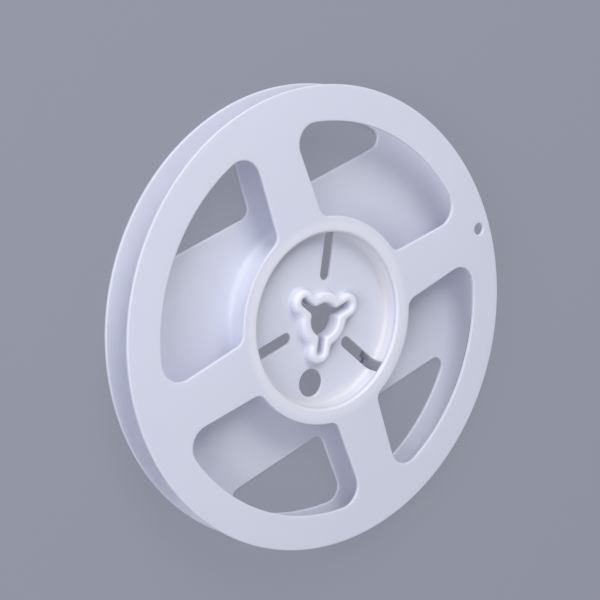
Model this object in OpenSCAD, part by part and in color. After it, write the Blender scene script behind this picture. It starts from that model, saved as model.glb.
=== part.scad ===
// Tape reel for surface-mount parts. It lies on its label flange with the
// axis along +Z, and the origin is the centre of that flange's outer face.
// Two mouldings make it: the label flange carries the hub, the hub's web and
// the keyed arbor boss, and the window flange is seated on the hub's end.

/* [Flanges] */
// Diameter of both flanges
reel_d = 178; // [166:1:200]
// Thickness of each flange
flange_t = 1.4; // [1.2:0.1:2.4]
// Space between the flanges, where the tape is wound
tape_gap = 13.2; // [8.4:0.1:26]
// Radius of the rounded edges round both rims
rim_round = 0.5; // [0.2:0.1:0.6]

/* [Hub] */
// Diameter that the tape is wound on
hub_d = 72; // [66:1:76]
// Thickness of the hub's wall
hub_wall = 2.2; // [1.8:0.1:3]
// Fillet between the hub and the flange moulded with it
hub_fillet = 3; // [1:0.5:3.5]
// Thickness of the web across the middle of the hub
web_t = 2.4; // [1.6:0.1:3]
// Fillet between the web and the hub's wall, on both faces
web_fillet = 1.2; // [0.4:0.1:1.6]
// Radius of the rounded edge of the hub's mouth, on both sides of the reel
mouth_round = 0.7; // [0.2:0.1:0.9]

/* [Arbor boss] */
// Diameter of the arbor hole
arbor_d = 13; // [12.8:0.1:14]
// Width of each keyway
key_w = 3.2; // [1.5:0.1:3.2]
// Distance from the axis to the round end of a keyway
key_reach = 13.8; // [10.5:0.1:14.5]
// Thickness of the boss's wall round the hole and the keyways
boss_wall = 3.7; // [2.4:0.1:4]
// Height of the boss above the web
boss_h = 3; // [2:0.1:4]
// Radius of the rounded edges along the top of the boss's wall
boss_round = 1.2; // [0.3:0.1:1.2]

/* [Tape slots and web hole] */
// Width of the slots that hold the tape's end
slot_w = 4.6; // [2.6:0.1:5.4]
// Distance from the axis to the round inner end of a slot
slot_start = 14.8; // [13:0.1:20]
// Diameter of the round hole in the web
web_hole_d = 11; // [4:0.5:12]
// Distance from the axis to the centre of that hole
web_hole_at = 25; // [24:0.1:26]

/* [Window flange] */
// Width of the rim outside the windows
rim_w = 13.5; // [10:0.5:18]
// Width of the ring between the hub's outside and the windows
ring_w = 4; // [2:0.5:6]
// Width of a spoke, halfway along it
spoke_w = 20; // [12:0.5:26]
// Angle by which each side of a spoke closes in towards the rim
spoke_taper = 2; // [0:0.5:4]
// Radius of a window's two corners at the rim
window_rim_round = 8; // [3:0.5:10]
// Radius of a window's two corners at the hub
window_hub_round = 4.5; // [2:0.5:6]
// Diameter of the small hole near the rim
rim_hole_d = 5; // [2:0.5:6]
// Distance from the rim to the centre of that hole
rim_hole_in = 6; // [5:0.5:7]

/* [Label flange] */
// Width of the solid band that takes the label
label_band_w = 95; // [84:1:110]
// Width of the rim outside this flange's windows
label_rim_w = 11; // [8:0.5:16]
// Radius of a window's two corners on the band
label_band_round = 4; // [1:0.5:5]
// Radius of a window's corner between spoke and rim
label_rim_round = 6; // [2:0.5:7]

/* [Joint between the mouldings] */
// Width of the tongue on the hub's end
tongue_w = 1; // [0.6:0.1:1.2]
// Height of the tongue
tongue_h = 0.7; // [0.4:0.1:0.8]
// Gap between the tongue and its groove
tongue_gap = 0.05; // [0.02:0.01:0.15]

/* [Hidden] */
$fn = 96;

KEYS = 3;
SPOKES = 4;
reel_r = reel_d / 2;
hub_r = hub_d / 2;
mouth_r = hub_r - hub_wall;
reel_w = tape_gap + 2 * flange_t;
seat_z = flange_t + tape_gap;
web_z = (reel_w - web_t) / 2;
web_top = web_z + web_t;
// The keyways' top edges are a little sharper than the arbor hole's
key_round = 0.75 * boss_round;
spoke_mid_r = (hub_r + ring_w + reel_r - rim_w) / 2;
tongue_r = hub_r - hub_wall / 2;
// Overrun of a cutting tool past the face it cuts
past = 1;
// Length of the sides that bound a window, past the rim
far = 2 * reel_r;

// ---- Outline helpers ----

// Point on the line with normal n and offset d, at distance r from the
// origin, on the side that e points to.
function on_line(n, d, e, r) = d * n + sqrt(r * r - d * d) * e;

// Point where two lines, each a normal and an offset, cross.
function crossing(n1, d1, n2, d2) =
    [d1 * n2.y - d2 * n1.y, d2 * n1.x - d1 * n2.x] / (n1.x * n2.y - n1.y * n2.x);

// What a fillet of radius r at centre c takes off a corner: the patch from
// the centre out past the corner's two sides, less the fillet's own disc.
module corner_waste(c, r, outline) {
    difference() {
        polygon(concat([c], outline));
        translate(c) circle(r);
    }
}

// Waste between a straight side and the outer arc of radius arc_r.
module outer_corner(n, d, e, arc_r, r) {
    c = on_line(n, d + r, e, arc_r - r);
    beyond = arc_r + past;
    corner_waste(c, r, [c * beyond / norm(c), on_line(n, d - past, e, beyond + past), c - (r + past) * n]);
}

// Waste between a straight side and the inner arc of radius arc_r.
module inner_corner(n, d, e, arc_r, r) {
    c = on_line(n, d + r, e, arc_r + r);
    within = arc_r - past;
    corner_waste(c, r, [c * within / norm(c), on_line(n, d - past, e, within - past), c - (r + past) * n]);
}

// Waste where two straight sides meet.
module line_corner(n1, d1, n2, d2, r) {
    c = crossing(n1, d1 + r, n2, d2 + r);
    corner_waste(c, r, [
        c - (r + past) * n1,
        crossing(n1, d1 - past, n2, d2 - past),
        c - (r + past) * n2
    ]);
}

// ---- Windows ----

// Sides of the spoke along +X and of the spoke along +Y that face each other:
// normals into the window, common offset, and directions towards the rim.
side_x_n = [sin(spoke_taper), cos(spoke_taper)];
side_x_e = [cos(spoke_taper), -sin(spoke_taper)];
side_y_n = [cos(spoke_taper), sin(spoke_taper)];
side_y_e = [-sin(spoke_taper), cos(spoke_taper)];
side_d = spoke_mid_r * sin(spoke_taper) + spoke_w / 2 * cos(spoke_taper);

// One window of the window flange, in the first quadrant.
module window_outline() {
    outer_r = reel_r - rim_w;
    inner_r = hub_r + ring_w;
    apex = crossing(side_x_n, side_d, side_y_n, side_d);
    difference() {
        intersection() {
            circle(outer_r);
            polygon([apex, apex + far * side_x_e, [far, far], apex + far * side_y_e]);
        }
        circle(inner_r);
        outer_corner(side_x_n, side_d, side_x_e, outer_r, window_rim_round);
        outer_corner(side_y_n, side_d, side_y_e, outer_r, window_rim_round);
        inner_corner(side_x_n, side_d, side_x_e, inner_r, window_hub_round);
        inner_corner(side_y_n, side_d, side_y_e, inner_r, window_hub_round);
    }
}

// One window of the label flange, in the first quadrant, above the band.
module label_window_outline() {
    outer_r = reel_r - label_rim_w;
    band_n = [0, 1];
    band_e = [1, 0];
    band_d = label_band_w / 2;
    corner = crossing(band_n, band_d, side_y_n, side_d);
    difference() {
        intersection() {
            circle(outer_r);
            polygon([corner, corner + far * band_e, [far, far], corner + far * side_y_e]);
        }
        outer_corner(band_n, band_d, band_e, outer_r, label_band_round);
        outer_corner(side_y_n, side_d, side_y_e, outer_r, label_rim_round);
        line_corner(band_n, band_d, side_y_n, side_d, label_band_round);
    }
}

// ---- Revolved profiles ----

// Waste of a rounded edge of radius r, for a corner at the origin whose
// material lies on the +X +Y side.
module edge_waste(r) {
    difference() {
        translate([-past, -past]) square(r + past);
        translate([r, r]) circle(r);
    }
}

// Section of one flange from the mouth to the rim, with both rim edges round.
module flange_section() {
    difference() {
        translate([mouth_r, 0]) square([reel_r - mouth_r, flange_t]);
        translate([reel_r, 0]) mirror([1, 0]) edge_waste(rim_round);
        translate([reel_r, flange_t]) rotate(180) edge_waste(rim_round);
    }
}

// Fillet of radius r in the corner at the origin, on its +X +Y side.
module fillet_section(r) {
    difference() {
        square(r);
        translate([r, r]) circle(r);
    }
}

// Section of the hub moulding: flange, wall, web, fillets and tongue.
module hub_section() {
    difference() {
        union() {
            flange_section();
            translate([mouth_r, 0]) square([hub_wall, seat_z]);
            translate([hub_r, flange_t]) fillet_section(hub_fillet);
            translate([0, web_z]) square([mouth_r + past / 2, web_t]);
            translate([mouth_r, web_top]) mirror([1, 0]) fillet_section(web_fillet);
            translate([mouth_r, web_z]) rotate(180) fillet_section(web_fillet);
            translate([tongue_r - tongue_w / 2, seat_z - past / 2])
                square([tongue_w, tongue_h + past / 2]);
        }
        translate([mouth_r, 0]) edge_waste(mouth_round);
    }
}

// Section of the window flange, with the groove that the tongue enters.
module window_flange_section() {
    groove_w = tongue_w + 2 * tongue_gap;
    difference() {
        flange_section();
        translate([mouth_r, flange_t]) mirror([0, 1]) edge_waste(mouth_round);
        translate([tongue_r - groove_w / 2, -past])
            square([groove_w, past + tongue_h + tongue_gap]);
    }
}

// ---- Arbor boss ----

// Half section of a wall whose outer face is at x = half and whose top edge
// is round, standing on y = 0.
module boss_half_section(half) {
    difference() {
        square([half, boss_h]);
        translate([half, boss_h]) rotate(180) edge_waste(boss_round);
    }
}

// Round part of the boss and its three arms, solid, standing on the web.
module boss_blank() {
    arm_half = key_w / 2 + boss_wall;
    tip_r = key_reach - key_w / 2;
    rotate_extrude() boss_half_section(arbor_d / 2 + boss_wall);
    for (k = [0:KEYS - 1]) rotate(k * 360 / KEYS) {
        translate([tip_r, 0]) rotate_extrude() boss_half_section(arm_half);
        rotate([90, 0, 90]) linear_extrude(tip_r) {
            boss_half_section(arm_half);
            mirror([1, 0]) boss_half_section(arm_half);
        }
    }
}

// Half section of the tool that cuts a hole of radius half down through the
// boss and the web, and that rounds the hole's top edge by radius r. The arc
// crosses the wall and the top at a slant, which keeps those edges clean.
module opening_half_section(half, r) {
    depth = web_t + boss_h;
    inset = 0.97 * r;
    translate([0, -past]) square([half, depth + 2 * past]);
    difference() {
        translate([0, depth - inset]) square([half + r, inset + past]);
        translate([half + inset, depth - inset]) circle(r);
    }
}

// Tool for the arbor hole and its keyways, standing on the web's underside.
module arbor_opening() {
    end_r = key_reach - key_w / 2;
    rotate_extrude() opening_half_section(arbor_d / 2, boss_round);
    for (k = [0:KEYS - 1]) rotate(k * 360 / KEYS) {
        translate([end_r, 0]) rotate_extrude() opening_half_section(key_w / 2, key_round);
        rotate([90, 0, 90]) linear_extrude(end_r) {
            opening_half_section(key_w / 2, key_round);
            mirror([1, 0]) opening_half_section(key_w / 2, key_round);
        }
    }
}

// ---- Tape slots ----

// One slot along +X: through the web, the hub's wall and the mouth of the
// label flange, and through the fillet above that flange.
module tape_slot() {
    slot_end = hub_r + hub_fillet + past;
    translate([slot_start + slot_w / 2, 0, -past]) cylinder(h = seat_z + 2 * past, d = slot_w);
    translate([slot_start + slot_w / 2, -slot_w / 2, -past])
        cube([hub_r - slot_start - slot_w / 2, slot_w, seat_z + 2 * past]);
    translate([slot_start + slot_w / 2, -slot_w / 2, flange_t])
        cube([slot_end - slot_start - slot_w / 2, slot_w, seat_z + past]);
}

// ---- Pieces ----

// Label flange with the hub, the web and the boss, in one moulding.
module hub_flange() {
    color([0.86, 0.87, 0.92]) difference() {
        union() {
            rotate_extrude() hub_section();
            translate([0, 0, web_top]) boss_blank();
        }
        translate([0, 0, web_z]) arbor_opening();
        for (k = [0:KEYS - 1]) rotate((k + 0.5) * 360 / KEYS) tape_slot();
        rotate(2 * 360 / KEYS) translate([web_hole_at, 0, web_z - past])
            cylinder(h = web_t + 2 * past, d = web_hole_d);
        for (mx = [0, 1], my = [0, 1]) mirror([mx, 0, 0]) mirror([0, my, 0])
            translate([0, 0, -past]) linear_extrude(flange_t + 2 * past) label_window_outline();
    }
}

// Flange with four windows, seated on the hub's end.
module window_flange() {
    color([0.88, 0.89, 0.94]) translate([0, 0, seat_z]) difference() {
        rotate_extrude() window_flange_section();
        for (k = [0:SPOKES - 1]) rotate(k * 360 / SPOKES)
            translate([0, 0, -past]) linear_extrude(flange_t + 2 * past) window_outline();
        translate([reel_r - rim_hole_in, 0, -past])
            cylinder(h = flange_t + 2 * past, d = rim_hole_d);
    }
}

hub_flange();
window_flange();
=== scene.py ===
"""An empty reel for surface-mount parts: two white polystyrene mouldings, dressed for a studio view.

The window flange is seated on the end of the hub, and the hub is one moulding with the label
flange, the web and the keyed arbor boss. Sizes are in millimetres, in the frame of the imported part.
"""

import logging
import math
from dataclasses import dataclass, field
from typing import Any

import bmesh
import bpy
from mathutils import Matrix, Vector


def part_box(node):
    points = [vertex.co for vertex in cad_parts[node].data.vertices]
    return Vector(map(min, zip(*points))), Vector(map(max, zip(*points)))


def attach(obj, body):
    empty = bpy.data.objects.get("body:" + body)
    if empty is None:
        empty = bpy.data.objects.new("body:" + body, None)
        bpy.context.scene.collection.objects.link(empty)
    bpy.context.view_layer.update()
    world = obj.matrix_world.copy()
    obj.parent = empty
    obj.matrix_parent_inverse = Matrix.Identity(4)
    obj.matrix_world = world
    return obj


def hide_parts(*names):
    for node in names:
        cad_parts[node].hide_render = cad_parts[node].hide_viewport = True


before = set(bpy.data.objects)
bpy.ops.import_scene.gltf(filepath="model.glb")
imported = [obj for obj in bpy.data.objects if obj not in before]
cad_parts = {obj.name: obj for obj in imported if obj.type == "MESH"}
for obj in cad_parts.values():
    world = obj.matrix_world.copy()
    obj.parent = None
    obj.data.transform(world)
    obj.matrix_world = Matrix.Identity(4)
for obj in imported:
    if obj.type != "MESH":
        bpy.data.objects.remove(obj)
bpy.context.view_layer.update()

log = logging.getLogger("tape_reel")

MM = 0.001
BODY = "root"

FINE_STEP = 7.5  # largest angle between two points of a small arc, in degrees
LOBE_STEP = 5.0
WIDE_ARC = 20.0  # an arc of at least this radius, in mm, gets four times as many points
WELD_MM = 1e-3
FLANGE_WELD_MM = 2e-3
MIX_FACTOR, MIX_A, MIX_B, MIX_RESULT = 0, 6, 7, 2  # a colour Mix node's sockets

Point = tuple[float, float]
Ring = list[tuple[float, float, float]]


def linear(hex_colour: str) -> tuple[float, float, float, float]:
    """Turn an sRGB hex colour such as "#d8dae8" into linear RGBA.

    Args:
        hex_colour: the colour, with its leading hash sign.

    Returns:
        Red, green and blue as linear light, and an alpha of 1.
    """
    parts = [int(hex_colour[i:i + 2], 16) / 255 for i in (1, 3, 5)]
    red, green, blue = (c / 12.92 if c <= 0.04045 else ((c + 0.055) / 1.055) ** 2.4 for c in parts)
    return red, green, blue, 1.0


def add(tree: bpy.types.NodeTree, kind: str, feeds: dict[Any, Any] | None = None, **settings: Any) -> Any:
    """Add one node to a tree, with its settings and what feeds its inputs.

    Args:
        tree: the shader or geometry tree.
        kind: the node's type name.
        feeds: for each input, by name or number, the output socket that feeds it or its value.
        settings: the node's own properties.

    Returns:
        The new node.
    """
    node = tree.nodes.new(kind)
    for name, value in settings.items():
        setattr(node, name, value)
    for name, value in (feeds or {}).items():
        if isinstance(value, bpy.types.NodeSocket):
            tree.links.new(value, node.inputs[name])
        else:
            node.inputs[name].default_value = value
    return node


# ---- Outlines ----


@dataclass(frozen=True)
class Arc:
    """One arc of a closed outline; a rising angle bulges out of the region, a falling one into it."""

    x: float
    y: float
    radius: float
    start: float
    end: float

    def points(self, offset: float, step: float) -> list[Point]:
        """Points along the arc after the outline has grown.

        Args:
            offset: how far the outline has moved out of its region, in mm.
            step: the largest angle between two points, in degrees.

        Returns:
            The points, both ends included; their number doesn't depend on the offset.
        """
        sweep = self.end - self.start
        radius = self.radius + offset * math.copysign(1.0, sweep)
        count = max(2, math.ceil(abs(sweep) / step))
        angles = (math.radians(self.start + sweep * i / count) for i in range(count + 1))
        return [(self.x + radius * math.cos(a), self.y + radius * math.sin(a)) for a in angles]


@dataclass(frozen=True)
class Outline:
    """A closed, smooth outline that runs anticlockwise through arcs and the straight lines between them."""

    arcs: tuple[Arc, ...]
    step: float = FINE_STEP
    mirror_x: bool = False
    mirror_y: bool = False

    def points(self, offset: float = 0.0) -> list[Point]:
        """The outline's points after it has grown by an offset in mm."""
        path: list[Point] = []
        for arc in self.arcs:
            step = self.step if arc.radius < WIDE_ARC else self.step / 4
            for point in arc.points(offset, step):
                if not path or math.dist(point, path[-1]) > 1e-6:
                    path.append(point)
        if math.dist(path[0], path[-1]) < 1e-6:
            path.pop()
        sx, sy = (-1 if self.mirror_x else 1), (-1 if self.mirror_y else 1)
        path = [(sx * x, sy * y) for x, y in path]
        return path if sx * sy > 0 else path[::-1]

    def ring(self, offset: float, z: float) -> Ring:
        """The grown outline laid at height z."""
        return [(x, y, z) for x, y in self.points(offset)]


def circle(radius: float, x: float = 0.0, y: float = 0.0) -> Outline:
    """A full circle as an outline."""
    return Outline((Arc(x, y, radius, 0, 360),))


def polar(distance: float, angle: float) -> Point:
    """The point at a distance from the origin, in a direction in degrees."""
    return distance * math.cos(math.radians(angle)), distance * math.sin(math.radians(angle))


def bearing(point: Vector) -> float:
    """Direction of a point from the origin, in degrees from 0 to 360."""
    return math.degrees(math.atan2(point.y, point.x)) % 360


def lobed(core: float, half: float, reach: float, blend: float, lobes: int) -> Outline:
    """A round core with straight-sided round-ended lobes, their roots blended into it.

    Args:
        core: radius of the core.
        half: half the width of a lobe.
        reach: distance from the axis to the centre of a lobe's round end.
        blend: radius of the blend between a lobe's side and the core.
        lobes: how many lobes there are, the first along +X.

    Returns:
        The outline.
    """
    root = core + blend
    swing = math.degrees(math.asin((half + blend) / root))
    pitch = 360 / lobes
    arcs: list[Arc] = []
    for k in range(lobes):
        this, after = k * pitch, (k + 1) * pitch
        near, far = this + swing, after - swing
        arcs += [
            Arc(*polar(reach, this), half, this - 90, this + 90),
            Arc(*polar(root, near), blend, this + 270, near + 180),
            Arc(0, 0, core, near, far),
            Arc(*polar(root, far), blend, far + 180, after + 90),
        ]
    return Outline(tuple(arcs), step=LOBE_STEP)


def quarter(radius: float, steps: int = 5) -> list[Point]:
    """A quarter turn between a flat face and a wall, for a rounded edge or a fillet.

    Args:
        radius: the turn's radius.
        steps: how many straight pieces it is drawn with.

    Returns:
        Its points from the face to the wall, as distance from the wall and distance from the face.
    """
    angles = (math.pi / 2 * i / steps for i in range(steps + 1))
    return [(radius * (1 - math.sin(a)), radius * (1 - math.cos(a))) for a in angles]


# ---- The reel's sizes ----


@dataclass(frozen=True)
class ReelSizes:
    """Sizes that both mouldings share, in mm.

    The rounds are those of the rim, of the windows' edges, of the opening in the label flange's
    outer face, and of the open mouth of the window flange; the taper of a spoke is in degrees.
    """

    radius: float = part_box("hub_flange")[1].x / MM
    seat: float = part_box("window_flange")[0].z / MM
    flange: float = (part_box("window_flange")[1].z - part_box("window_flange")[0].z) / MM
    hub: float = 36.0
    mouth: float = 33.8
    rim_round: float = 0.5
    window_round: float = 0.35
    mouth_round: float = 0.7
    open_round: float = 1.3
    spokes: int = 4
    spoke_half: float = 10.0
    spoke_middle: float = 57.75
    taper: float = 2.0

    @property
    def side_offset(self) -> float:
        """Distance from the axis to the line along a spoke's side."""
        t = math.radians(self.taper)
        return self.spoke_middle * math.sin(t) + self.spoke_half * math.cos(t)

    def side(self, about_y: bool) -> tuple[Vector, Vector]:
        """The normal and the direction of the spoke's side along +X, or along +Y."""
        s, c = math.sin(math.radians(self.taper)), math.cos(math.radians(self.taper))
        return (Vector((c, s)), Vector((-s, c))) if about_y else (Vector((s, c)), Vector((c, -s)))


def corner(normal: Vector, offset: float, along: Vector, distance: float) -> Vector:
    """Centre of a corner's arc: on a line with that normal and offset, at that distance from the axis."""
    return offset * normal + math.sqrt(distance ** 2 - offset ** 2) * along


def corner_arc(centre: Vector, radius: float, start: float, end: float) -> Arc:
    """A bulging corner arc whose end is raised by full turns until it lies past its start."""
    while end < start:
        end += 360
    return Arc(centre.x, centre.y, radius, start, end)


# ---- Meshes ----


class Skin:
    """A closed surface put together from rings of points, in mm."""

    def __init__(self) -> None:
        """Start with no faces."""
        self.mesh = bmesh.new()

    def _loop(self, ring: Ring) -> list[bmesh.types.BMVert]:
        """Vertices of one ring."""
        return [self.mesh.verts.new(Vector(p) * MM) for p in ring]

    def band(self, rings: list[Ring]) -> None:
        """Lay quads between each ring and the next."""
        loops = [self._loop(r) for r in rings]
        for low, high in zip(loops, loops[1:]):
            for i in range(len(low)):
                j = (i + 1) % len(low)
                self.mesh.faces.new((low[i], low[j], high[j], high[i]))

    def pave(self, rings: list[Ring]) -> None:
        """Fill the flat region inside the first ring and outside the others."""
        edges = []
        for ring in rings:
            loop = self._loop(ring)
            edges += [self.mesh.edges.new((loop[i - 1], loop[i])) for i in range(len(loop))]
        bmesh.ops.triangle_fill(self.mesh, use_beauty=True, use_dissolve=False, edges=edges)

    def finish(self, name: str) -> bpy.types.Object:
        """Weld the rings and make the object.

        Args:
            name: the object's name.

        Returns:
            The object, linked to the scene.
        """
        bmesh.ops.remove_doubles(self.mesh, verts=self.mesh.verts, dist=WELD_MM * MM)
        bmesh.ops.recalc_face_normals(self.mesh, faces=self.mesh.faces)
        if self.mesh.calc_volume(signed=True) < 0:
            bmesh.ops.reverse_faces(self.mesh, faces=self.mesh.faces)
        mesh = bpy.data.meshes.new(name)
        self.mesh.to_mesh(mesh)
        self.mesh.free()
        return link(name, mesh)


def link(name: str, mesh: bpy.types.Mesh) -> bpy.types.Object:
    """Put a mesh into the scene as an object at the origin."""
    item = bpy.data.objects.new(name, mesh)
    bpy.context.scene.collection.objects.link(item)
    return item


def wire(name: str, path: Ring, closed: bool) -> bpy.types.Object:
    """A line of edges through points in mm, for a geometry tree to read.

    Args:
        name: the object's name.
        path: the points.
        closed: whether the last point joins the first.

    Returns:
        The object.
    """
    count = len(path)
    edges = [(i, (i + 1) % count) for i in range(count if closed else count - 1)]
    mesh = bpy.data.meshes.new(name)
    mesh.from_pydata([Vector(p) * MM for p in path], edges, [])
    return link(name, mesh)


def discard(items: list[bpy.types.Object]) -> None:
    """Remove helper objects and their meshes."""
    for item in items:
        mesh = item.data
        bpy.data.objects.remove(item)
        bpy.data.meshes.remove(mesh)


def grow(name: str, tree: bpy.types.NodeTree, inputs: dict[str, Any],
         start: bpy.types.Object) -> bpy.types.Object:
    """Run a geometry tree on an object and keep the result as a plain mesh.

    Args:
        name: name of the finished object.
        tree: the tree.
        inputs: values for the tree's named inputs.
        start: the object that the tree starts from; it is used up.

    Returns:
        The finished object.
    """
    modifier = start.modifiers.new("grow", "NODES")
    modifier.node_group = tree
    for socket in tree.interface.items_tree:
        if socket.item_type == "SOCKET" and socket.name in inputs:
            modifier[socket.identifier] = inputs[socket.name]
    bpy.context.view_layer.update()
    graph = bpy.context.evaluated_depsgraph_get()
    mesh = bpy.data.meshes.new_from_object(start.evaluated_get(graph))
    mesh.name = name
    discard([start])
    return link(name, mesh)


def settle(item: bpy.types.Object, node: str, sharp: float = 32.0) -> None:
    """Shade a finished piece and give it its place in the part.

    Args:
        item: the piece, whose rounded faces turn smooth while its flat ones stay flat.
        node: the CAD node that it stands for.
        sharp: the least angle between two faces that stays a sharp edge, in degrees.
    """
    mesh = item.data
    mesh.polygons.foreach_set("use_smooth", [True] * len(mesh.polygons))
    mesh.set_sharp_from_angle(angle=math.radians(sharp))
    weights = item.modifiers.new("flat faces stay flat", "WEIGHTED_NORMAL")
    weights.keep_sharp = True
    weights.weight = 100
    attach(item, BODY)
    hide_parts(node)


# ---- Finishes ----


@dataclass(frozen=True)
class MouldedPolystyrene:
    """Natural white impact polystyrene, injection moulded in a lightly blasted tool.

    It looks milky: light enters thin walls and comes back softened. Painted light makes the raised
    boss and the ring over the hub's wall whiter, a painted warm shade tints the hub's inner wall, and
    the surface has a satin sheen with a very fine grain and a few specks of burnt resin. Each pair
    of sizes in mm is where a painted tone starts to change and where it has changed.
    """

    name: str = "white_impact_polystyrene_moulded"
    body: str = "#dcdeeb"
    # painted warm shade for the hub's inner wall and the web beside it
    painted_warm_shade: str = "#e0dfe4"
    # painted light that whitens the raised boss and the ring over the hub's wall
    painted_light_white: str = "#e8e9f4"
    speck: str = "#8f8f9a"
    ior: float = 1.59
    roughness: float = 0.42
    duller: float = 0.06
    glossier: float = 0.05
    scatter: float = 0.5
    scatter_mm: float = 3.0
    scatter_tint: tuple[float, float, float] = (1.0, 0.92, 0.85)
    grain_mm: float = 0.35  # coarser than the tool's blasting, so that it shows
    ripple_mm: float = 18.0
    relief: float = 0.06
    relief_mm: float = 0.05
    speck_pitch_mm: float = 9.0
    speck_mm: float = 0.22
    speck_rarity: float = 0.82
    # where the painted shade on the hub's inner wall and the painted light on the boss and ring start and end
    wall_in_mm: Point = (28.0, 34.0)
    wall_out_mm: Point = (35.0, 36.0)
    wall_top_mm: Point = (15.5, 11.0)
    boss_foot_mm: Point = (9.6, 11.5)
    boss_edge_mm: Point = (18.5, 17.5)
    ring_edge_mm: Point = (40.0, 36.0)

    def material(self) -> bpy.types.Material:
        """Build the material."""
        material = bpy.data.materials.new(self.name)
        material.use_nodes = True
        tree = material.node_tree
        tree.nodes.clear()
        place = add(tree, "ShaderNodeTexCoord").outputs["Object"]
        cloud, grain = (add(tree, "ShaderNodeTexNoise", {
            "Vector": place, "Scale": 1 / (size * MM), "Detail": detail,
        }) for size, detail in ((self.ripple_mm, 3.0), (self.grain_mm, 2.0)))
        sheen = add(tree, "ShaderNodeMapRange", {
            "Value": cloud.outputs[0], "From Min": 0.3, "From Max": 0.7,
            "To Min": self.roughness - self.glossier, "To Max": self.roughness + self.duller,
        })
        relief = add(tree, "ShaderNodeMath", {0: cloud.outputs[0], 1: grain.outputs[0]}, operation="ADD")
        bump = add(tree, "ShaderNodeBump", {
            "Height": relief.outputs[0], "Strength": self.relief, "Distance": self.relief_mm * MM,
        })
        shader = add(tree, "ShaderNodeBsdfPrincipled", {
            # the base colour carries painted warm shade in the hub and painted light on the boss and ring
            "Base Color": self.spotted(tree, place, self.colour_with_painted_light_and_shade(tree, place)),
            "Roughness": sheen.outputs[0],
            "IOR": self.ior,
            "Subsurface Weight": self.scatter,
            "Subsurface Radius": self.scatter_tint,
            "Subsurface Scale": self.scatter_mm * MM,
            "Normal": bump.outputs[0],
        })
        add(tree, "ShaderNodeOutputMaterial", {"Surface": shader.outputs[0]})
        return material

    def colour_with_painted_light_and_shade(self, tree: bpy.types.NodeTree, place: bpy.types.NodeSocket) -> bpy.types.NodeSocket:
        """The resin's colour with painted light and shade: a painted warm shade on the hub's inner wall, and
        painted light that whitens the boss and the ring.

        Args:
            tree: the material's tree.
            place: the point on the piece.

        Returns:
            The colour.
        """
        flat = add(tree, "ShaderNodeVectorMath", {0: place, 1: (1.0, 1.0, 0.0)}, operation="MULTIPLY")
        radius = add(tree, "ShaderNodeVectorMath", {0: flat.outputs[0]}, operation="LENGTH").outputs["Value"]
        height = add(tree, "ShaderNodeSeparateXYZ", {0: place}).outputs["Z"]
        wall_in, wall_out, wall_top, boss_foot, boss_edge, ring_edge = (add(tree, "ShaderNodeMapRange", {
            "Value": along, "From Min": start * MM, "From Max": end * MM,
        }, interpolation_type="SMOOTHSTEP").outputs[0] for along, (start, end) in (
            (radius, self.wall_in_mm), (radius, self.wall_out_mm), (height, self.wall_top_mm),
            (height, self.boss_foot_mm), (radius, self.boss_edge_mm), (radius, self.ring_edge_mm),
        ))
        # painted warm shade: the hub's inner wall and the web beside it, below the ring
        wall = add(tree, "ShaderNodeMath", {0: wall_in, 1: wall_out}, operation="SUBTRACT")
        wall = add(tree, "ShaderNodeMath", {0: wall.outputs[0], 1: wall_top}, operation="MULTIPLY")
        # painted light: the raised boss
        boss = add(tree, "ShaderNodeMath", {0: boss_foot, 1: boss_edge}, operation="MULTIPLY")
        above = add(tree, "ShaderNodeMath", {0: 1.0, 1: wall_top}, operation="SUBTRACT")
        # painted light: the ring over the hub's wall, above the painted shade
        ring = add(tree, "ShaderNodeMath", {0: wall_in, 1: ring_edge}, operation="MULTIPLY")
        ring = add(tree, "ShaderNodeMath", {0: ring.outputs[0], 1: above.outputs[0]}, operation="MULTIPLY")
        # painted light mask: the boss and the ring, where the moulding is thick
        thick = add(tree, "ShaderNodeMath", {0: boss.outputs[0], 1: ring.outputs[0]}, operation="MAXIMUM")
        # tint the hub's inner wall with the painted warm shade
        with_painted_shade = add(tree, "ShaderNodeMix", {
            MIX_FACTOR: wall.outputs[0], MIX_A: linear(self.body), MIX_B: linear(self.painted_warm_shade),
        }, data_type="RGBA")
        # whiten the boss and the ring with painted light
        return add(tree, "ShaderNodeMix", {
            MIX_FACTOR: thick.outputs[0], MIX_A: with_painted_shade.outputs[MIX_RESULT], MIX_B: linear(self.painted_light_white),
        }, data_type="RGBA").outputs[MIX_RESULT]

    def spotted(self, tree: bpy.types.NodeTree, place: bpy.types.NodeSocket,
                colour: bpy.types.NodeSocket) -> bpy.types.NodeSocket:
        """The colour with a few small specks.

        Args:
            tree: the material's tree.
            place: the point on the piece.
            colour: the colour between the specks.

        Returns:
            The colour.
        """
        cells = add(tree, "ShaderNodeTexVoronoi", {"Vector": place, "Scale": 1 / (self.speck_pitch_mm * MM)})
        edge = self.speck_mm / self.speck_pitch_mm
        dots = add(tree, "ShaderNodeMapRange", {
            "Value": cells.outputs["Distance"], "From Min": edge, "From Max": edge / 2,
        })
        kept = add(tree, "ShaderNodeMath", {
            0: cells.outputs["Color"], 1: self.speck_rarity,
        }, operation="GREATER_THAN")
        specks = add(tree, "ShaderNodeMath", {0: dots.outputs[0], 1: kept.outputs[0]}, operation="MULTIPLY")
        return add(tree, "ShaderNodeMix", {
            MIX_FACTOR: specks.outputs[0], MIX_A: colour, MIX_B: linear(self.speck),
        }, data_type="RGBA").outputs[MIX_RESULT]


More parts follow.
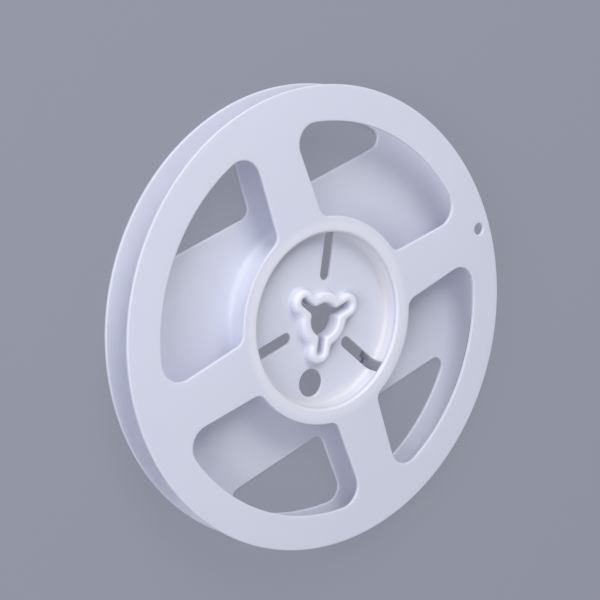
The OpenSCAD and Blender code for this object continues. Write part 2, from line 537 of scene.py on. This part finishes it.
@dataclass(frozen=True)
class MattPaper:
    """Pale grey studio paper, unrolled under the reel: matt, even, with no visible grain.

    Seen directly, a share of it shines evenly, which softens the shadow that it keeps.
    """

    name: str = "grey_studio_paper_matt"
    colour: str = "#9da0ae"
    roughness: float = 0.9
    gloss: float = 0.1
    even: float = 0.75
    level: float = 0.85

    def material(self) -> bpy.types.Material:
        """Build the material."""
        material = bpy.data.materials.new(self.name)
        material.use_nodes = True
        tree = material.node_tree
        tree.nodes.clear()
        shader = add(tree, "ShaderNodeBsdfPrincipled", {
            "Base Color": linear(self.colour), "Roughness": self.roughness, "Specular IOR Level": self.gloss,
        })
        glow = add(tree, "ShaderNodeEmission", {"Color": linear(self.colour), "Strength": self.level})
        rays = add(tree, "ShaderNodeLightPath").outputs
        seen = rays["Is Camera Ray"]
        for other in ("Is Glossy Ray", "Is Transmission Ray"):
            seen = add(tree, "ShaderNodeMath", {0: seen, 1: rays[other]}, operation="MAXIMUM").outputs[0]
        share = add(tree, "ShaderNodeMath", {0: seen, 1: self.even}, operation="MULTIPLY")
        mix = add(tree, "ShaderNodeMixShader", {0: share.outputs[0], 1: shader.outputs[0], 2: glow.outputs[0]})
        add(tree, "ShaderNodeOutputMaterial", {"Surface": mix.outputs[0]})
        return material


# ---- Window flange ----


@dataclass
class WindowFlange:
    """The flange with four windows, seated on the hub's end: one rule makes its rim, mouth and openings."""

    sizes: ReelSizes
    window_in: float = 40.0
    window_out: float = 75.5
    hub_corner: float = 4.5
    rim_corner: float = 8.0
    hole: float = 2.5
    hole_at: float = 83.0
    rim_points: int = 240
    mouth_points: int = 144
    hole_points: int = 40

    def window(self) -> Outline:
        """The window between the spokes along +X and +Y."""
        s = self.sizes
        (nx, ex), (ny, ey) = s.side(False), s.side(True)
        outer = self.window_out - self.rim_corner
        inner = self.window_in + self.hub_corner
        rim_x = corner(nx, s.side_offset + self.rim_corner, ex, outer)
        rim_y = corner(ny, s.side_offset + self.rim_corner, ey, outer)
        hub_y = corner(ny, s.side_offset + self.hub_corner, ey, inner)
        hub_x = corner(nx, s.side_offset + self.hub_corner, ex, inner)
        return Outline((
            Arc(0, 0, self.window_out, bearing(rim_x), bearing(rim_y)),
            corner_arc(rim_y, self.rim_corner, bearing(rim_y), bearing(-ny)),
            corner_arc(hub_y, self.hub_corner, bearing(-ny), bearing(-hub_y)),
            Arc(0, 0, self.window_in, bearing(hub_y), bearing(hub_x)),
            corner_arc(hub_x, self.hub_corner, bearing(-hub_x), bearing(-nx)),
            corner_arc(rim_x, self.rim_corner, bearing(-nx), bearing(rim_x)),
        ))

    def section(self, name: str, low: float, high: float, outward: bool) -> bpy.types.Object:
        """The line that is swept round an edge, drawn with the material on its inner or outer side.

        Args:
            name: the object's name.
            low: radius of the rounding at the lower face, or 0 for a sharp edge.
            high: radius of the rounding at the upper face.
            outward: whether the material lies outward of the edge, as round an opening.

        Returns:
            The line, as an object.
        """
        sign = 1 if outward else -1
        thick = self.sizes.flange
        path = [(sign * i, d) for i, d in quarter(low)] if low else [(0.0, 0.0)]
        path += [(sign * i, thick - d) for i, d in reversed(quarter(high))]
        if not outward:  # so that the swept faces point away from the material
            path.reverse()
        return wire(name, [(x, -z, 0.0) for x, z in path], closed=False)

    def tree(self) -> bpy.types.NodeTree:
        """The rule: sweep a section round the rim, the mouth and each opening, and fill both faces."""
        tree = bpy.data.node_groups.new("moulded flange", "GeometryNodeTree")
        for name, kind in (
            ("Rim Radius", "Float"), ("Mouth Radius", "Float"), ("Windows", "Int"), ("Window", "Object"),
            ("Hole Radius", "Float"), ("Hole Distance", "Float"), ("Thickness", "Float"), ("Seat", "Float"),
            ("Rim Round", "Float"), ("Mouth Round", "Float"), ("Window Round", "Float"),
            ("Rim Section", "Object"), ("Mouth Section", "Object"), ("Window Section", "Object"),
            ("Finish", "Material"),
        ):
            tree.interface.new_socket(name, in_out="INPUT", socket_type="NodeSocket" + kind)
        tree.interface.new_socket("Flange", in_out="OUTPUT", socket_type="NodeSocketGeometry")
        made = {socket.name: socket for socket in add(tree, "NodeGroupInput").outputs}

        rim, mouth, dot = (add(tree, "GeometryNodeCurvePrimitiveCircle", {
            "Resolution": points, "Radius": made[radius],
        }) for points, radius in (
            (self.rim_points, "Rim Radius"),
            (self.mouth_points, "Mouth Radius"),
            (self.hole_points, "Hole Radius"),
        ))
        shift = add(tree, "ShaderNodeCombineXYZ", {"X": made["Hole Distance"]})
        hole = add(tree, "GeometryNodeTransform", {"Geometry": dot.outputs[0], "Translation": shift.outputs[0]})
        window = add(tree, "GeometryNodeMeshToCurve", {
            "Mesh": add(tree, "GeometryNodeObjectInfo", {"Object": made["Window"]}).outputs["Geometry"],
        })
        points = add(tree, "GeometryNodePoints", {"Count": made["Windows"]})
        index = add(tree, "GeometryNodeInputIndex")
        share = add(tree, "ShaderNodeMath", {0: index.outputs[0], 1: made["Windows"]}, operation="DIVIDE")
        turn = add(tree, "ShaderNodeMath", {0: share.outputs[0], 1: math.tau}, operation="MULTIPLY")
        spin = add(tree, "ShaderNodeCombineXYZ", {"Z": turn.outputs[0]})
        copies = add(tree, "GeometryNodeInstanceOnPoints", {
            "Points": points.outputs[0], "Instance": window.outputs[0], "Rotation": spin.outputs[0],
        })
        windows = add(tree, "GeometryNodeRealizeInstances", {"Geometry": copies.outputs[0]})
        openings = add(tree, "GeometryNodeJoinGeometry")
        for loops in (windows, hole):
            tree.links.new(loops.outputs[0], openings.inputs[0])

        normal = add(tree, "GeometryNodeInputNormal").outputs[0]
        sides = add(tree, "GeometryNodeJoinGeometry")
        faces = {side: add(tree, "GeometryNodeJoinGeometry") for side in ("low", "high")}
        for loops, section, round_low, round_high, sign in (
            (rim, "Rim Section", "Rim Round", "Rim Round", -1.0),
            (mouth, "Mouth Section", None, "Mouth Round", 1.0),
            (openings, "Window Section", "Window Round", "Window Round", 1.0),
        ):
            upright = add(tree, "GeometryNodeSetCurveNormal", {"Curve": loops.outputs[0]}, mode="Z_UP")
            profile = add(tree, "GeometryNodeMeshToCurve", {
                "Mesh": add(tree, "GeometryNodeObjectInfo", {"Object": made[section]}).outputs["Geometry"],
            })
            swept = add(tree, "GeometryNodeCurveToMesh", {
                "Curve": upright.outputs[0], "Profile Curve": profile.outputs[0],
            })
            tree.links.new(swept.outputs[0], sides.inputs[0])
            for face, amount in (("low", round_low), ("high", round_high)):
                inset = made[amount] if amount else 0.0
                step = add(tree, "ShaderNodeMath", {0: inset, 1: sign}, operation="MULTIPLY")
                move = add(tree, "ShaderNodeVectorMath", {0: normal, "Scale": step.outputs[0]}, operation="SCALE")
                moved = add(tree, "GeometryNodeSetPosition", {
                    "Geometry": upright.outputs[0], "Offset": move.outputs[0],
                })
                tree.links.new(moved.outputs[0], faces[face].inputs[0])
        low = add(tree, "GeometryNodeFillCurve", {"Curve": faces["low"].outputs[0]})
        high = add(tree, "GeometryNodeFillCurve", {"Curve": faces["high"].outputs[0]})
        lift = add(tree, "ShaderNodeCombineXYZ", {"Z": made["Thickness"]})
        top = add(tree, "GeometryNodeTransform", {"Geometry": high.outputs[0], "Translation": lift.outputs[0]})
        bottom = add(tree, "GeometryNodeFlipFaces", {"Mesh": low.outputs[0]})
        whole = add(tree, "GeometryNodeJoinGeometry")
        for part in (sides, top, bottom):
            tree.links.new(part.outputs[0], whole.inputs[0])
        weld = add(tree, "GeometryNodeMergeByDistance", {
            "Geometry": whole.outputs[0], "Distance": FLANGE_WELD_MM * MM,
        })
        raise_by = add(tree, "ShaderNodeCombineXYZ", {"Z": made["Seat"]})
        seated = add(tree, "GeometryNodeTransform", {
            "Geometry": weld.outputs[0], "Translation": raise_by.outputs[0],
        })
        real = add(tree, "GeometryNodeRealizeInstances", {"Geometry": seated.outputs[0]})
        dressed = add(tree, "GeometryNodeSetMaterial", {"Geometry": real.outputs[0], "Material": made["Finish"]})
        add(tree, "NodeGroupOutput", {0: dressed.outputs[0]})
        return tree

    def build(self, finish: bpy.types.Material) -> bpy.types.Object:
        """Make the flange.

        Args:
            finish: the plastic.

        Returns:
            The flange, which stands for the CAD node of the same name.
        """
        s = self.sizes
        helpers = {
            "Window": wire("window line", self.window().ring(0.0, 0.0), closed=True),
            "Rim Section": self.section("rim line", s.rim_round, s.rim_round, outward=False),
            "Mouth Section": self.section("mouth line", 0.0, s.open_round, outward=True),
            "Window Section": self.section("window edge line", s.window_round, s.window_round, outward=True),
        }
        values: dict[str, Any] = {
            "Rim Radius": s.radius * MM, "Mouth Radius": s.mouth * MM, "Windows": s.spokes,
            "Hole Radius": self.hole * MM, "Hole Distance": self.hole_at * MM,
            "Thickness": s.flange * MM, "Seat": s.seat * MM,
            "Rim Round": s.rim_round * MM, "Mouth Round": s.open_round * MM,
            "Window Round": s.window_round * MM, "Finish": finish,
        }
        start = link("flange start", bpy.data.meshes.new("flange start"))
        piece = grow("window_flange_moulding", self.tree(), {**helpers, **values}, start)
        discard(list(helpers.values()))
        settle(piece, "window_flange")
        return piece


# ---- Hub moulding ----


@dataclass
class HubMoulding:
    """Label flange, slotted hub, web and keyed arbor boss, in one moulding.

    The keyways are slots with round ends, and the boss follows them at the distance of its wall.
    Heights are measured from the label flange's outer face.
    """

    sizes: ReelSizes
    bore: float = 6.5
    keys: int = 3
    key_half: float = 1.6
    key_reach: float = 12.2
    key_corner: float = 1.8
    boss_core: float = 10.7
    boss_wall: float = 3.2
    boss_low: float = 6.8
    boss_top: float = 13.3
    boss_round: float = 1.5
    lip_round: float = 1.2
    boss_blend: float = 2.5
    boss_foot: float = 1.0
    web_low: float = 8.0
    web_high: float = 9.2
    web_fillet: float = 2.0
    back_fillet: float = 1.0
    web_hole: float = 5.5
    web_hole_at: float = 25.0
    hole_round: float = 0.3
    hub_fillet: float = 3.0
    label_band: float = 47.5
    label_rim: float = 78.0
    band_corner: float = 4.0
    rim_corner: float = 6.0
    tongue_in: float = 34.4
    tongue_out: float = 35.4
    tongue_high: float = 0.7
    slot_half: float = 2.3
    slot_start: float = 14.8
    slot_end_steps: int = 16
    few: int = 3
    many: int = 10

    def label_windows(self) -> list[Outline]:
        """The four windows above and below the band that takes the label."""
        s = self.sizes
        band_n, band_e = Vector((0, 1)), Vector((1, 0))
        spoke_n, spoke_e = s.side(True)
        high = self.label_band + self.band_corner
        low = s.side_offset + self.band_corner
        band_rim = corner(band_n, high, band_e, self.label_rim - self.band_corner)
        spoke_rim = corner(spoke_n, s.side_offset + self.rim_corner, spoke_e, self.label_rim - self.rim_corner)
        inner = Vector(((low - high * spoke_n.y) / spoke_n.x, high))
        arcs = (
            Arc(0, 0, self.label_rim, bearing(band_rim), bearing(spoke_rim)),
            corner_arc(spoke_rim, self.rim_corner, bearing(spoke_rim), bearing(-spoke_n)),
            corner_arc(inner, self.band_corner, bearing(-spoke_n), 270),
            corner_arc(band_rim, self.band_corner, 270, bearing(band_rim)),
        )
        return [Outline(arcs, mirror_x=mx, mirror_y=my) for mx in (False, True) for my in (False, True)]

    def blank(self) -> bpy.types.Object:
        """The moulding before its slots are cut."""
        s = self.sizes
        skin = Skin()
        small = self.hole_round

        def turned(path: list[Point]) -> None:
            """Turn a line of (radius, height) points about the axis."""
            skin.band([circle(r).ring(0, z) for r, z in path])

        # Rim, then mouth and inner wall up to the web, then all above the web round to the flange
        turned([(s.radius - i, s.flange - d) for i, d in quarter(s.rim_round)]
               + [(s.radius - i, d) for i, d in reversed(quarter(s.rim_round))])
        turned([(s.mouth + i, d) for i, d in quarter(s.mouth_round)]
               + [(s.mouth - i, self.web_low - d) for i, d in reversed(quarter(self.back_fillet))])
        tongue_top = s.seat + self.tongue_high
        turned([(s.mouth - i, self.web_high + d) for i, d in quarter(self.web_fillet)]
               + [(s.mouth, s.seat), (self.tongue_in, s.seat), (self.tongue_in, tongue_top),
                  (self.tongue_out, tongue_top), (self.tongue_out, s.seat), (s.hub, s.seat)]
               + [(s.hub + i, s.flange + d) for i, d in reversed(quarter(self.hub_fillet, self.many))])

        # Faces of the label flange, and the edges of its windows
        windows = self.label_windows()
        inner_edge = s.hub + self.hub_fillet
        for z, inside in ((s.flange, inner_edge), (0.0, s.mouth + s.mouth_round)):
            skin.pave([circle(s.radius - s.rim_round).ring(0, z), circle(inside).ring(0, z)]
                      + [w.ring(s.window_round, z) for w in windows])
        for w in windows:
            skin.band([w.ring(i, s.flange - d) for i, d in quarter(s.window_round, self.few)]
                      + [w.ring(i, d) for i, d in reversed(quarter(s.window_round, self.few))])

        # Boss with its foot and rounded brow, the keyed opening through it, and the web hole
        boss_half = self.key_half + self.boss_wall
        boss = lobed(self.boss_core, boss_half, self.key_reach, self.boss_blend, self.keys)
        keyed = lobed(self.bore, self.key_half, self.key_reach, self.key_corner, self.keys)
        hole = circle(self.web_hole, *polar(self.web_hole_at, 2 * 360 / self.keys))
        skin.band([boss.ring(i, self.web_high + d) for i, d in quarter(self.boss_foot)]
                  + [boss.ring(-i, self.boss_top - d) for i, d in reversed(quarter(self.boss_round))])
        skin.pave([boss.ring(-self.boss_round, self.boss_top), keyed.ring(self.lip_round, self.boss_top)])
        skin.band([keyed.ring(i, self.boss_top - d) for i, d in quarter(self.lip_round)]
                  + [keyed.ring(i, self.boss_low + d) for i, d in reversed(quarter(small, self.few))])
        skin.pave([boss.ring(-small, self.boss_low), keyed.ring(small, self.boss_low)])
        skin.band([boss.ring(-i, self.boss_low + d) for i, d in quarter(small, self.few)]
                  + [boss.ring(i, self.web_low - d) for i, d in reversed(quarter(small, self.few))])
        skin.band([hole.ring(i, self.web_high - d) for i, d in quarter(small, self.few)]
                  + [hole.ring(i, self.web_low + d) for i, d in reversed(quarter(small, self.few))])

        # Faces of the web
        for z, fillet, foot in ((self.web_high, self.web_fillet, self.boss_foot),
                                (self.web_low, self.back_fillet, small)):
            skin.pave([circle(s.mouth - fillet).ring(0, z), boss.ring(foot, z), hole.ring(small, z)])
        return skin.finish("hub blank")

    def slot_tool(self) -> bpy.types.Object:
        """The tool that cuts the slot along +X: web, hub wall, mouth and the fillet above the flange."""
        s = self.sizes
        past = 1.0
        near = self.slot_start + self.slot_half
        steps = self.slot_end_steps
        ends = [(near + x, y) for x, y in
                (polar(self.slot_half, 90 + 180 * i / steps) for i in range(steps + 1))]

        def level(reach: float, z: float) -> Ring:
            """The slot's outline at one height, out to a distance from the axis."""
            return [(x, y, z) for x, y in ends] + [(reach, -self.slot_half, z), (reach, self.slot_half, z)]

        wide = s.hub + self.hub_fillet + past
        rings = [level(s.hub, -past), level(s.hub, s.flange), level(wide, s.flange),
                 level(wide, s.seat + self.tongue_high + past)]
        skin = Skin()
        skin.band(rings)
        skin.pave([rings[0]])
        skin.pave([rings[-1]])
        return skin.finish("slot tool")

    def tree(self) -> bpy.types.NodeTree:
        """The rule for the slots: copies of one tool, evenly turned about the axis, cut from the blank."""
        tree = bpy.data.node_groups.new("radial slots", "GeometryNodeTree")
        tree.interface.new_socket("Blank", in_out="INPUT", socket_type="NodeSocketGeometry")
        for name, kind in (("Tool", "Object"), ("Slots", "Int"), ("Finish", "Material")):
            tree.interface.new_socket(name, in_out="INPUT", socket_type="NodeSocket" + kind)
        tree.interface.new_socket("Moulding", in_out="OUTPUT", socket_type="NodeSocketGeometry")
        made = {socket.name: socket for socket in add(tree, "NodeGroupInput").outputs}
        tool = add(tree, "GeometryNodeObjectInfo", {"Object": made["Tool"]})
        points = add(tree, "GeometryNodePoints", {"Count": made["Slots"]})
        index = add(tree, "GeometryNodeInputIndex")
        middle = add(tree, "ShaderNodeMath", {0: index.outputs[0], 1: 0.5}, operation="ADD")
        share = add(tree, "ShaderNodeMath", {0: middle.outputs[0], 1: made["Slots"]}, operation="DIVIDE")
        turn = add(tree, "ShaderNodeMath", {0: share.outputs[0], 1: math.tau}, operation="MULTIPLY")
        spin = add(tree, "ShaderNodeCombineXYZ", {"Z": turn.outputs[0]})
        copies = add(tree, "GeometryNodeInstanceOnPoints", {
            "Points": points.outputs[0], "Instance": tool.outputs["Geometry"], "Rotation": spin.outputs[0],
        })
        tools = add(tree, "GeometryNodeRealizeInstances", {"Geometry": copies.outputs[0]})
        cut = add(tree, "GeometryNodeMeshBoolean", {0: made["Blank"], 1: tools.outputs[0]},
                  operation="DIFFERENCE", solver="MANIFOLD")
        real = add(tree, "GeometryNodeRealizeInstances", {"Geometry": cut.outputs[0]})
        dressed = add(tree, "GeometryNodeSetMaterial", {"Geometry": real.outputs[0], "Material": made["Finish"]})
        add(tree, "NodeGroupOutput", {0: dressed.outputs[0]})
        return tree

    def build(self, finish: bpy.types.Material) -> bpy.types.Object:
        """Make the moulding.

        Args:
            finish: the plastic.

        Returns:
            The moulding, which stands for the CAD node "hub_flange".
        """
        tool = self.slot_tool()
        values = {"Tool": tool, "Slots": self.keys, "Finish": finish}
        piece = grow("hub_moulding", self.tree(), values, self.blank())
        discard([tool])
        settle(piece, "hub_flange")
        return piece


# ---- Studio ----


@dataclass(frozen=True)
class Lamp:
    """A square soft box that faces the reel; place and size in metres, power in watts."""

    name: str
    place: tuple[float, float, float]
    size: float
    watts: float
    tint: str

    def hang(self) -> None:
        """Put the lamp into the scene."""
        light = bpy.data.lights.new(self.name, "AREA")
        light.size = self.size
        light.energy = self.watts
        light.color = linear(self.tint)[:3]
        item = bpy.data.objects.new(self.name, light)
        aim = Vector(self.place).to_track_quat("Z", "Y").to_matrix().to_4x4()
        item.matrix_world = Matrix.Translation(self.place) @ aim
        bpy.context.scene.collection.objects.link(item)


@dataclass
class Studio:
    """Paper floor, soft lamps and the camera."""

    paper: MattPaper = field(default_factory=MattPaper)
    lamps: tuple[Lamp, ...] = (
        Lamp("key", (0.2, 0.95, 0.8), 0.7, 8.5, "#ffffff"),
        Lamp("fill", (-1.0, 0.5, 0.65), 0.7, 8.0, "#f8f8ff"),
    )
    room_tint: str = "#eef0fa"
    room_light: float = 0.4
    floor_half: float = 3.0
    lens: float = 88.3
    camera_at: tuple[float, float, float] = (-0.28492, 0.21696, 0.44415)
    camera_right: tuple[float, float, float] = (0.74156, -0.28104, 0.60919)
    camera_up: tuple[float, float, float] = (0.44529, 0.88536, -0.13360)

    def floor(self) -> bpy.types.Object:
        """A wide sheet of paper, level with the lowest point of the reel."""
        h = self.floor_half
        mesh = bpy.data.meshes.new("floor")
        mesh.from_pydata([(-h, -h, 0), (h, -h, 0), (h, h, 0), (-h, h, 0)], [], [(0, 1, 2, 3)])
        sheet = link("floor", mesh)
        sheet.data.materials.append(self.paper.material())
        return sheet

    def camera(self) -> None:
        """The camera looks down at the reel from beyond its left side."""
        right, up = Vector(self.camera_right).normalized(), Vector(self.camera_up)
        back = right.cross(up).normalized()
        up = back.cross(right)
        data = bpy.data.cameras.new("camera")
        data.lens = self.lens
        item = bpy.data.objects.new("camera", data)
        turn = Matrix((right, up, back)).transposed().to_4x4()
        item.matrix_world = Matrix.Translation(self.camera_at) @ turn
        bpy.context.scene.collection.objects.link(item)
        bpy.context.scene.camera = item

    def build(self) -> None:
        """Set the stage."""
        self.floor()
        for lamp in self.lamps:
            lamp.hang()
        world = bpy.data.worlds.new("studio")
        world.use_nodes = True
        back = world.node_tree.nodes["Background"]
        back.inputs["Color"].default_value = linear(self.room_tint)
        back.inputs["Strength"].default_value = self.room_light
        bpy.context.scene.world = world
        bpy.context.scene.view_settings.view_transform = "Standard"
        self.camera()


def main() -> None:
    """Build the reel and its studio."""
    logging.basicConfig(level=logging.INFO, format="%(name)s: %(message)s")
    plastic = MouldedPolystyrene().material()
    sizes = ReelSizes()
    for sub in (WindowFlange(sizes), HubMoulding(sizes)):
        piece = sub.build(plastic)
        log.info("%s: %d faces", piece.name, len(piece.data.polygons))
    Studio().build()


if __name__ == "__main__":
    main()
